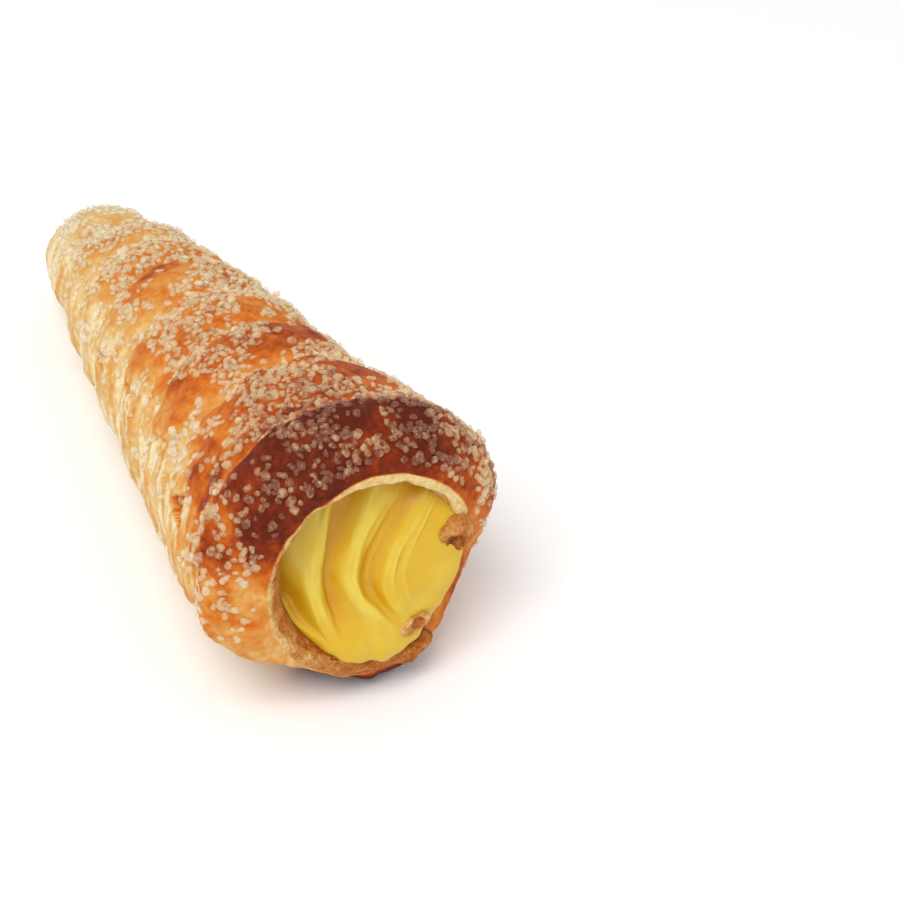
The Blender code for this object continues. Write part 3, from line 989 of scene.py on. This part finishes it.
def line_streaks(y, z):
    """Fine streaks that the piping nozzle leaves along the ridges."""
    across = shifted_level(y, z)[1]
    streaks = np.stack([across * LINE_WIDTH, STRIATION_STRETCH * z, np.zeros_like(z)], axis=-1)
    return piped_fade(z) * noise(streaks, STRIATION_SIZE, CUSTARD_SEED)


def filling_face_x(y, z, share):
    """The custard's front: recessed at the upper left, full at the lower right, and ridged."""
    relief = PIPED_DEPTH * (ridge_level(y, z) - 1.0) + STRIATION_HEIGHT * line_streaks(y, z)
    edge_drop = FILLING_EDGE_DROP * share**EDGE_DROP_POWER
    return LENGTH / 2 - RIM_LEAN * (z + RIM_RADIUS) - face_recess(y, z) + relief - edge_drop


def soft_minimum(first, second, width):
    """The lower of two values, rounded where they cross."""
    nearness = np.clip(1.0 - np.abs(first - second) / width, 0.0, 1.0)
    return np.minimum(first, second) - 0.25 * width * nearness**2


def filling_boundary(phi):
    """Where the custard's front meets the hollow's wall: each pass lands nearer to it."""
    radius = (RIM_RADIUS - HOLLOW_FLARE) * np.ones_like(phi)
    for _ in range(BOUNDARY_PASSES):
        x = filling_face_x(radius * np.sin(phi), radius * np.cos(phi), np.ones_like(phi))
        x = np.minimum(x, rim_x(phi) - FILLING_GAP)
        radius = hollow_radius(x, phi)
    return x, radius


def overflow(phi):
    """The custard spills over the rim at the lower right and at the bottom."""
    ragged = sum(height * np.sin(turns * phi + phase) for height, turns, phase in OVERFLOW_WAVES)
    spill = sum(bell(phi, *shape) for shape in OVERFLOW_BELLS)
    return np.clip(spill * (1.0 + ragged), 0.0, OVERFLOW_LIMIT)


def custard_face(phi, edge_radius):
    """Points of the custard's face, and the level of its ridges, which colours it with painted shade in the
    grooves and painted light on the ridges.
    """
    share = np.broadcast_to(np.linspace(0.0, 1.0, FILLING_ROWS + 1)[1:, None], (FILLING_ROWS, len(phi)))
    spill = overflow(phi)
    spread = OVERFLOW_REACH * spill * np.sin(math.pi * share**OVERFLOW_REACH_POWER)
    radius = edge_radius * (share + spread)
    y, z = radius * np.sin(phi), radius * np.cos(phi)
    x = filling_face_x(y, z, share) + OVERFLOW_RISE * spill * np.sin(math.pi * share**OVERFLOW_RISE_POWER)
    limit = rim_x(phi) - FILLING_GAP + FILLING_BULGE * np.sqrt(1.0 - share**BULGE_POWER)
    limit = limit + FREE_MIDDLE * (1.0 - share**FREE_MIDDLE_POWER)
    face = ring_points(soft_minimum(x, limit, LIMIT_SOFTNESS), radius, phi, hollow_axis)
    lumps = layered_noise(face, CUSTARD_LUMPS, CUSTARD_SEED + 1) * (1.0 - share**CUSTARD_LUMPS_POWER)
    face = face + grid_normals(face) * lumps[..., None]
    # The colour's level follows the height of the ridges and streaks: painted shade in the grooves, painted
    # light on the ridges
    level = ridge_level(y, z) + STRIATION_SHADE * line_streaks(y, z)
    return face, level + layered_noise(face, CUSTARD_SPOTS, CUSTARD_SEED + 2)


def custard_grid(phi):
    """Points of the custard's face and of its side in the hollow, and the level of its ridges."""
    edge, edge_radius = filling_boundary(phi)
    face, level = custard_face(phi, edge_radius)
    side_x = edge + np.linspace(0.0, 1.0, FILLING_SIDE_ROWS)[1:, None] * (FILLING_BACK - edge)
    side = ring_points(side_x, hollow_radius(side_x, phi) - 0.5 * WALL_CLEARANCE, phi, hollow_axis)
    side_level = np.full(side_x.shape, CUSTARD_SIDE_LEVEL)
    return np.concatenate([face, side]), np.concatenate([level, side_level])


# The custard's colour by the level of its ridges: darker amber in the grooves as painted shade, paler on the
# ridges as painted light
CUSTARD_SHADED_STOPS = (
    (0.0, srgb(206, 148, 4)),
    (0.30, srgb(206, 158, 12)),
    (0.72, srgb(212, 174, 28)),
    (1.0, srgb(218, 192, 68)),
)


def custard_material():
    """Set custard, painted a darker amber in the grooves between its ridges as painted shade, and paler on
    the ridges as painted light.
    """
    material, tree, shader = principled_material("custard", {
        "Roughness": 0.42, "Subsurface Weight": 0.25, "Subsurface Radius": (2.0, 1.3, 0.3),
        "Subsurface Scale": MM})
    mottle = centred_node(tree, noise_node(tree, 2.0 * MM), 0.25)
    level = math_node(tree, "ADD", attribute_node(tree, "level"), mottle)
    tree.links.new(ramp_node(tree, level, CUSTARD_SHADED_STOPS), shader.inputs["Base Color"])
    bump_node(tree, shader, noise_node(tree, 0.5 * MM, detail=3.0), 0.03 * MM)
    return material


def build_custard():
    """The piped filling."""
    phi = np.linspace(-math.pi, math.pi, FILLING_COLUMNS, endpoint=False)
    grid, level = custard_grid(phi)
    middle = filling_face_x(np.zeros(1), np.zeros(1), np.zeros(1))[0]
    start, end = axis_point(middle, hollow_axis), axis_point(FILLING_BACK, hollow_axis)
    mesh = grid_mesh("custard_piped", grid, {"level": level}, start, end)
    add_piece("custard_piped", mesh, custard_material(), "custard_filling")


# Pastry crumbs about the mouth: place along the horn, place across and up from the mouth's axis,
# half sizes along, across and up, tilt in degrees, browning, and the place across and up, radius
# and depth of the hollow in its front; lengths in millimetres
CRUMBS = {
    "crumb_at_rim": ((63.4, 13.9, 1.9), (2.0, 2.5, 3.3), -16, 0.52, (0.0, -0.9, 2.3, 1.0)),
    "crumb_in_custard": ((65.4, 6.3, -11.2), (0.9, 2.5, 1.35), 24, 0.42, (0.4, 0.0, 1.5, 0.7)),
    "crumb_below": ((63.2, 6.1, -17.4), (2.2, 3.7, 2.1), 24, 0.66, (-9.0, 0.0, 0.1, 0.0)),
}
CRUMB_ROWS, CRUMB_COLUMNS = 48, 72
CRUMB_POLE_ANGLE = 0.05
CRUMB_LUMPS = ((2.2 * MM, 0.13), (0.9 * MM, 0.09))
CRUMB_SPOTS = ((0.9 * MM, 0.12),)
CRUMB_HOLLOW_STEEPNESS = 1.6
# How much darker a crumb's hollow is painted, as painted shade
CRUMB_HOLLOW_SHADE = 0.32


def crumb_grid(place, halves, tilt, bake, hollow):
    """A lumpy crumb as rows round the x axis, and its browning, darker in its hollow as painted shade."""
    theta = np.linspace(CRUMB_POLE_ANGLE, math.pi - CRUMB_POLE_ANGLE, CRUMB_ROWS)[:, None]
    phi = np.linspace(0.0, 2.0 * math.pi, CRUMB_COLUMNS, endpoint=False)
    ball = [np.cos(theta) + 0.0 * phi, np.sin(theta) * np.sin(phi), np.sin(theta) * np.cos(phi)]
    points = np.stack(ball, axis=-1) * np.array(halves) * MM
    lumps = layered_noise(points + np.array(place) * MM, CRUMB_LUMPS, BLISTER_SEED + 3)
    points = points * (1.0 + lumps)[..., None]
    across, up, radius, depth = (value * MM for value in hollow)
    inside = np.clip(1.0 - np.hypot(points[..., 1] - across, points[..., 2] - up) / radius, 0.0, 1.0)
    inside = np.where(points[..., 0] > 0.0, smooth_step(CRUMB_HOLLOW_STEEPNESS * inside), 0.0)
    points[..., 0] -= depth * inside
    lean = math.radians(tilt)
    y, z = points[..., 1].copy(), points[..., 2].copy()
    points[..., 1] = y * math.cos(lean) - z * math.sin(lean)
    points[..., 2] = y * math.sin(lean) + z * math.cos(lean)
    # The hollow is darkened as painted shade
    level = bake + CRUMB_HOLLOW_SHADE * inside + layered_noise(points, CRUMB_SPOTS, MOTTLE_SEED + 4)
    return points, level


def build_crumbs(material):
    """Loose bits of the strip's end at the mouth."""
    axis = float(cone_axis(np.array(LENGTH / 2))[1])
    for name, (place, halves, tilt, bake, hollow) in CRUMBS.items():
        points, level = crumb_grid(place, halves, tilt, bake, hollow)
        centre = np.array([place[0] * MM, place[1] * MM, axis + place[2] * MM])
        grid = points + centre
        grid[..., 2] = np.maximum(grid[..., 2], 0.0)
        start, end = grid[0].mean(axis=0), grid[-1].mean(axis=0)
        values = {"bake": level, "crumb": np.ones_like(level)}
        add_piece(name, grid_mesh(name, grid, values, start, end), material, "pastry_shell")


# Sugar: share of the darts that stick, by angle round the horn and by place along it
SUGAR_AROUND = (
    (-180, 0.0), (-112, 0.0), (-98, 0.015), (-76, 0.035), (-60, 0.13), (-40, 0.55), (-18, 1.0),
    (28, 1.0), (60, 0.8), (95, 0.45), (120, 0.10), (140, 0.0), (180, 0.0),
)
SUGAR_ALONG = ((-0.0645, 0.25), (-0.060, 0.55), (-0.050, 0.8), (0.049, 1.0), (0.0555, 0.80),
               (0.0625, 0.60), (0.066, 0.5))
SUGAR_CLUMPS = ((6.5 * MM, 1.3), (2.8 * MM, 1.0))
SUGAR_DARTS = 24000
SUGAR_CLEAR_OF_RIM = 1.3 * MM
RIM_CLEARANCE_START = CONE_END - 2.0 * MM

# The mouth turn's -Y flank has at least this share: from which place on and over what length, and
# in degrees from how far down one side and from which angle up, and over how many
FLANK_SUGAR = 0.26
FLANK_SUGAR_START = (0.050, 4.0 * MM)
FLANK_SUGAR_TOP = (40, 20)
FLANK_SUGAR_BOTTOM = (-112, 30)

# The grains, and those that lie on others: how many, how far up and how far off their place, in
# grain lengths, how long against the others, and how far out and up on the horn they may be
GRAIN_LENGTH = (1.00 * MM, 2.05 * MM)
GRAIN_SHAPE_COUNT = 24
GRAIN_POINTS = 27
GRAIN_SQUARENESS = 3.2
GRAIN_OVERLAP = 0.47
GRAIN_WIDTHS = (0.55, 0.95)
GRAIN_HEIGHTS = (0.45, 0.68)
GRAIN_WEAR = (0.9, 1.0)
GRAIN_LEAN = 0.22
GRAIN_OPACITY = 0.43
TOPPED_SHARE = 0.12
TOPPER_LIFT = 0.24
TOPPER_DRIFT = 0.12
TOPPER_SIZE = 0.9
TOPPER_LIMITS = (21.0 * MM, 43.0 * MM)


def grain_shapes(random):
    """Worn crystals: each as its points, about one unit long, and its triangles."""
    shapes = []
    for _ in range(GRAIN_SHAPE_COUNT):
        half = 0.5 * np.array([1.0, random.uniform(*GRAIN_WIDTHS), random.uniform(*GRAIN_HEIGHTS)])
        mesh = bmesh.new()
        for _ in range(GRAIN_POINTS):
            way = random.normal(size=3)
            way /= np.sum(np.abs(way) ** GRAIN_SQUARENESS) ** (1.0 / GRAIN_SQUARENESS)
            mesh.verts.new(way * half * random.uniform(*GRAIN_WEAR))
        made = bmesh.ops.convex_hull(mesh, input=mesh.verts)
        bmesh.ops.delete(mesh, geom=list({*made["geom_interior"], *made["geom_unused"]}), context="VERTS")
        bmesh.ops.triangulate(mesh, faces=mesh.faces)
        bmesh.ops.recalc_face_normals(mesh, faces=mesh.faces)
        mesh.verts.index_update()
        points = np.array([vertex.co for vertex in mesh.verts])
        faces = np.array([[vertex.index for vertex in face.verts] for face in mesh.faces])
        mesh.free()
        shapes.append((points, faces))
    return shapes


def sugar_share(x, phi, points):
    """Chance that a grain sticks at each of these points."""
    angle = np.degrees(phi)
    share = np.interp(angle, *zip(*SUGAR_AROUND)) * np.interp(x, *zip(*SUGAR_ALONG))
    flank = rising(-angle, *FLANK_SUGAR_TOP) * rising(angle, *FLANK_SUGAR_BOTTOM)
    share = np.maximum(share, FLANK_SUGAR * rising(x, *FLANK_SUGAR_START) * flank)
    for mark in MARKS:
        share = share * (1.0 - (1.0 - mark[5]) * mark_share(x, phi, points, mark))
    return share * (1.0 + layered_noise(points, SUGAR_CLUMPS, SUGAR_SEED, 1))


def surface_samples(outsides, random):
    """Random points spread evenly over the crust, with their normals and browning."""
    cells = []
    for grid, bake in outsides:
        following = np.roll(grid, -1, axis=1)
        sides = grid[1:] - grid[:-1], following[:-1] - grid[:-1]
        area = np.linalg.norm(np.cross(*sides), axis=-1)
        cells.append((grid, grid_normals(grid), bake, area))
    weights = np.concatenate([area.reshape(-1) for *_, area in cells])
    chosen = random.choice(len(weights), SUGAR_DARTS, p=weights / weights.sum())
    ends = np.cumsum([area.size for *_, area in cells])
    points, normals, bakes = [], [], []
    for (grid, normal, bake, area), end in zip(cells, ends):
        own = chosen[(chosen >= end - area.size) & (chosen < end)] - (end - area.size)
        row, column = np.divmod(own, grid.shape[1])
        along, across = random.uniform(size=(2, len(own), 1))
        beside = (column + 1) % grid.shape[1]
        near = grid[row, column] * (1.0 - across) + grid[row, beside] * across
        far = grid[row + 1, column] * (1.0 - across) + grid[row + 1, beside] * across
        points.append(near * (1.0 - along) + far * along)
        normals.append(normal[row, column])
        bakes.append(bake[row, column])
    points, normals, bakes = (np.concatenate(part) for part in (points, normals, bakes))
    order = random.permutation(len(points))
    return points[order], normals[order], bakes[order]


def thinned(points, reach, share, random):
    """Indices of the darts that stick and stay clear of those before them."""
    cell_size = GRAIN_LENGTH[1]
    taken, kept = {}, []
    luck = random.uniform(size=len(points))
    cells = np.floor(points / cell_size).astype(int)
    for i in np.nonzero(luck < share)[0]:
        x, y, z = cells[i]
        around = itertools.product((x - 1, x, x + 1), (y - 1, y, y + 1), (z - 1, z, z + 1))
        near = [j for key in around for j in taken.get(key, ())]
        if near:
            gaps = np.linalg.norm(points[near] - points[i], axis=1)
            if np.any(gaps < 0.5 * GRAIN_OVERLAP * (reach[near] + reach[i])):
                continue
        taken.setdefault((x, y, z), []).append(i)
        kept.append(i)
    return np.array(kept)


def turned_grain(points, normal, random):
    """A crystal's points, lying roughly flat on a surface with this normal."""
    lean = normal + random.normal(0.0, GRAIN_LEAN, 3)
    up = lean / np.linalg.norm(lean)
    side = np.cross(up, random.normal(size=3))
    side /= np.linalg.norm(side)
    return points @ np.stack([side, np.cross(up, side), up])


def placed_grains(outsides, random):
    """The grains that stick, and those on top of them: each one's place, normal, length and browning."""
    points, normals, bakes = surface_samples(outsides, random)
    reach = random.uniform(*GRAIN_LENGTH, len(points))
    across, height = cone_axis(points[:, 0])
    phi = np.arctan2(points[:, 1] - across, points[:, 2] - height)
    to_rim = np.hypot(points[:, 1], points[:, 2] - height) - (RIM_RADIUS + LIP_THICKNESS)
    at_rim = (points[:, 0] > RIM_CLEARANCE_START) & (to_rim < SUGAR_CLEAR_OF_RIM)
    share = np.where(at_rim, 0.0, sugar_share(points[:, 0], phi, points))
    kept = thinned(points, reach, share, random)
    grains = [(points[i], normals[i], reach[i], bakes[i]) for i in kept]
    low = (points[:, 2] < TOPPER_LIMITS[1]) & (np.abs(points[:, 1]) < TOPPER_LIMITS[0])
    for i in kept[random.uniform(size=len(kept)) < TOPPED_SHARE * (share * low)[kept]]:
        place = points[i] + (normals[i] * TOPPER_LIFT + random.normal(0.0, TOPPER_DRIFT, 3)) * reach[i]
        grains.append((place, normals[i], reach[i] * TOPPER_SIZE, bakes[i]))
    return grains


def build_sugar(outsides):
    """Coarse sugar, pressed into the egg wash, as one joined mesh."""
    random = np.random.default_rng(SUGAR_SEED)
    shapes = grain_shapes(random)
    vertices, faces, bake, tone, count = [], [], [], [], 0
    for place, normal, length, level in placed_grains(outsides, random):
        shape, triangles = shapes[random.integers(len(shapes))]
        vertices.append(place + length * turned_grain(shape, normal, random))
        faces.append(triangles + count)
        bake.append(np.full(len(shape), level))
        tone.append(np.full(len(shape), random.uniform()))
        count += len(shape)
    values = {"bake": np.concatenate(bake), "tone": np.concatenate(tone)}
    mesh = new_mesh("sugar_grains", np.concatenate(vertices), np.concatenate(faces).tolist(), values)
    mesh.materials.append(sugar_material())
    piece = add_object("sugar_grains", mesh)
    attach(piece, "root")


SUGAR_STOPS = (
    (0.0, srgb(252, 242, 216)),
    (0.30, srgb(250, 232, 190)),
    (0.60, srgb(242, 212, 158)),
    (0.80, srgb(216, 164, 118)),
    (1.0, srgb(156, 94, 68)),
)


def sugar_material():
    """Translucent crystals, tinted by the crust that shows through them."""
    material, tree, shader = principled_material("coarse_sugar", {
        "Roughness": 0.16, "Subsurface Weight": 0.4, "Subsurface Radius": (0.9, 0.75, 0.6),
        "Subsurface Scale": MM, "Alpha": GRAIN_OPACITY, "Specular IOR Level": 0.75})
    tone = centred_node(tree, attribute_node(tree, "tone"), 0.30)
    cloud = centred_node(tree, noise_node(tree, 0.7 * MM), 0.9)
    level = math_node(tree, "ADD", math_node(tree, "ADD", attribute_node(tree, "bake"), tone), cloud)
    tree.links.new(ramp_node(tree, level, SUGAR_STOPS), shader.inputs["Base Color"])
    bump_node(tree, shader, noise_node(tree, 0.5 * MM), 0.05 * MM)
    return material


# Camera, floor and light
CAMERA_AZIMUTH = math.radians(64.4)
CAMERA_ELEVATION = math.radians(36.8)
CAMERA_DISTANCE = 0.399
CAMERA_LENS = 92.96
CAMERA_TARGET = Vector((0.0138, 0.0376, 0.0))
FLOOR_HALF, FLOOR_HEIGHT = 1.5, -0.00005
ROOM_BRIGHTNESS = 0.74


def add_camera():
    """A camera at the photograph's angle, looking past the horn's +Y side."""
    data = bpy.data.cameras.new("camera")
    data.lens = CAMERA_LENS
    data.sensor_width = 36.0
    data.clip_start = 0.01
    camera = add_object("camera", data)
    level = math.cos(CAMERA_ELEVATION)
    across, away = math.sin(CAMERA_AZIMUTH) * level, -math.cos(CAMERA_AZIMUTH) * level
    back = Vector((across, away, math.sin(CAMERA_ELEVATION)))
    camera.location = CAMERA_TARGET + CAMERA_DISTANCE * back
    camera.rotation_euler = back.to_track_quat("Z", "Y").to_euler()
    bpy.context.scene.camera = camera


def add_floor():
    """A plain pale floor just below the horn."""
    half, height = FLOOR_HALF, FLOOR_HEIGHT
    corners = [(-half, -half, height), (half, -half, height), (half, half, height), (-half, half, height)]
    mesh = bpy.data.meshes.new("floor")
    mesh.from_pydata(corners, [], [(0, 1, 2, 3)])
    look = {"Base Color": srgb(250, 250, 250), "Roughness": 0.9, "Specular IOR Level": 0.0}
    mesh.materials.append(principled_material("floor", look)[0])
    floor = add_object("floor", mesh)


def add_light(name, place, size, power):
    """A square soft light aimed at the horn."""
    data = bpy.data.lights.new(name, "AREA")
    data.size = size
    data.energy = power
    light = add_object(name, data)
    light.location = place
    light.rotation_euler = Vector(place).to_track_quat("Z", "Y").to_euler()


def add_surroundings():
    """A bright white room."""
    world = bpy.data.worlds.new("studio")
    world.use_nodes = True
    background = world.node_tree.nodes["Background"]
    background.inputs["Color"].default_value = (1.0, 1.0, 1.0, 1.0)
    background.inputs["Strength"].default_value = ROOM_BRIGHTNESS
    bpy.context.scene.world = world
    bpy.context.scene.view_settings.view_transform = "Standard"
    add_light("key", place=(0.35, -0.30, 0.75), size=0.45, power=4.2)


add_camera()
add_floor()
add_surroundings()
pastry = crust_material()
outsides = build_crust(pastry)
build_custard()
build_crumbs(pastry)
build_sugar(outsides)
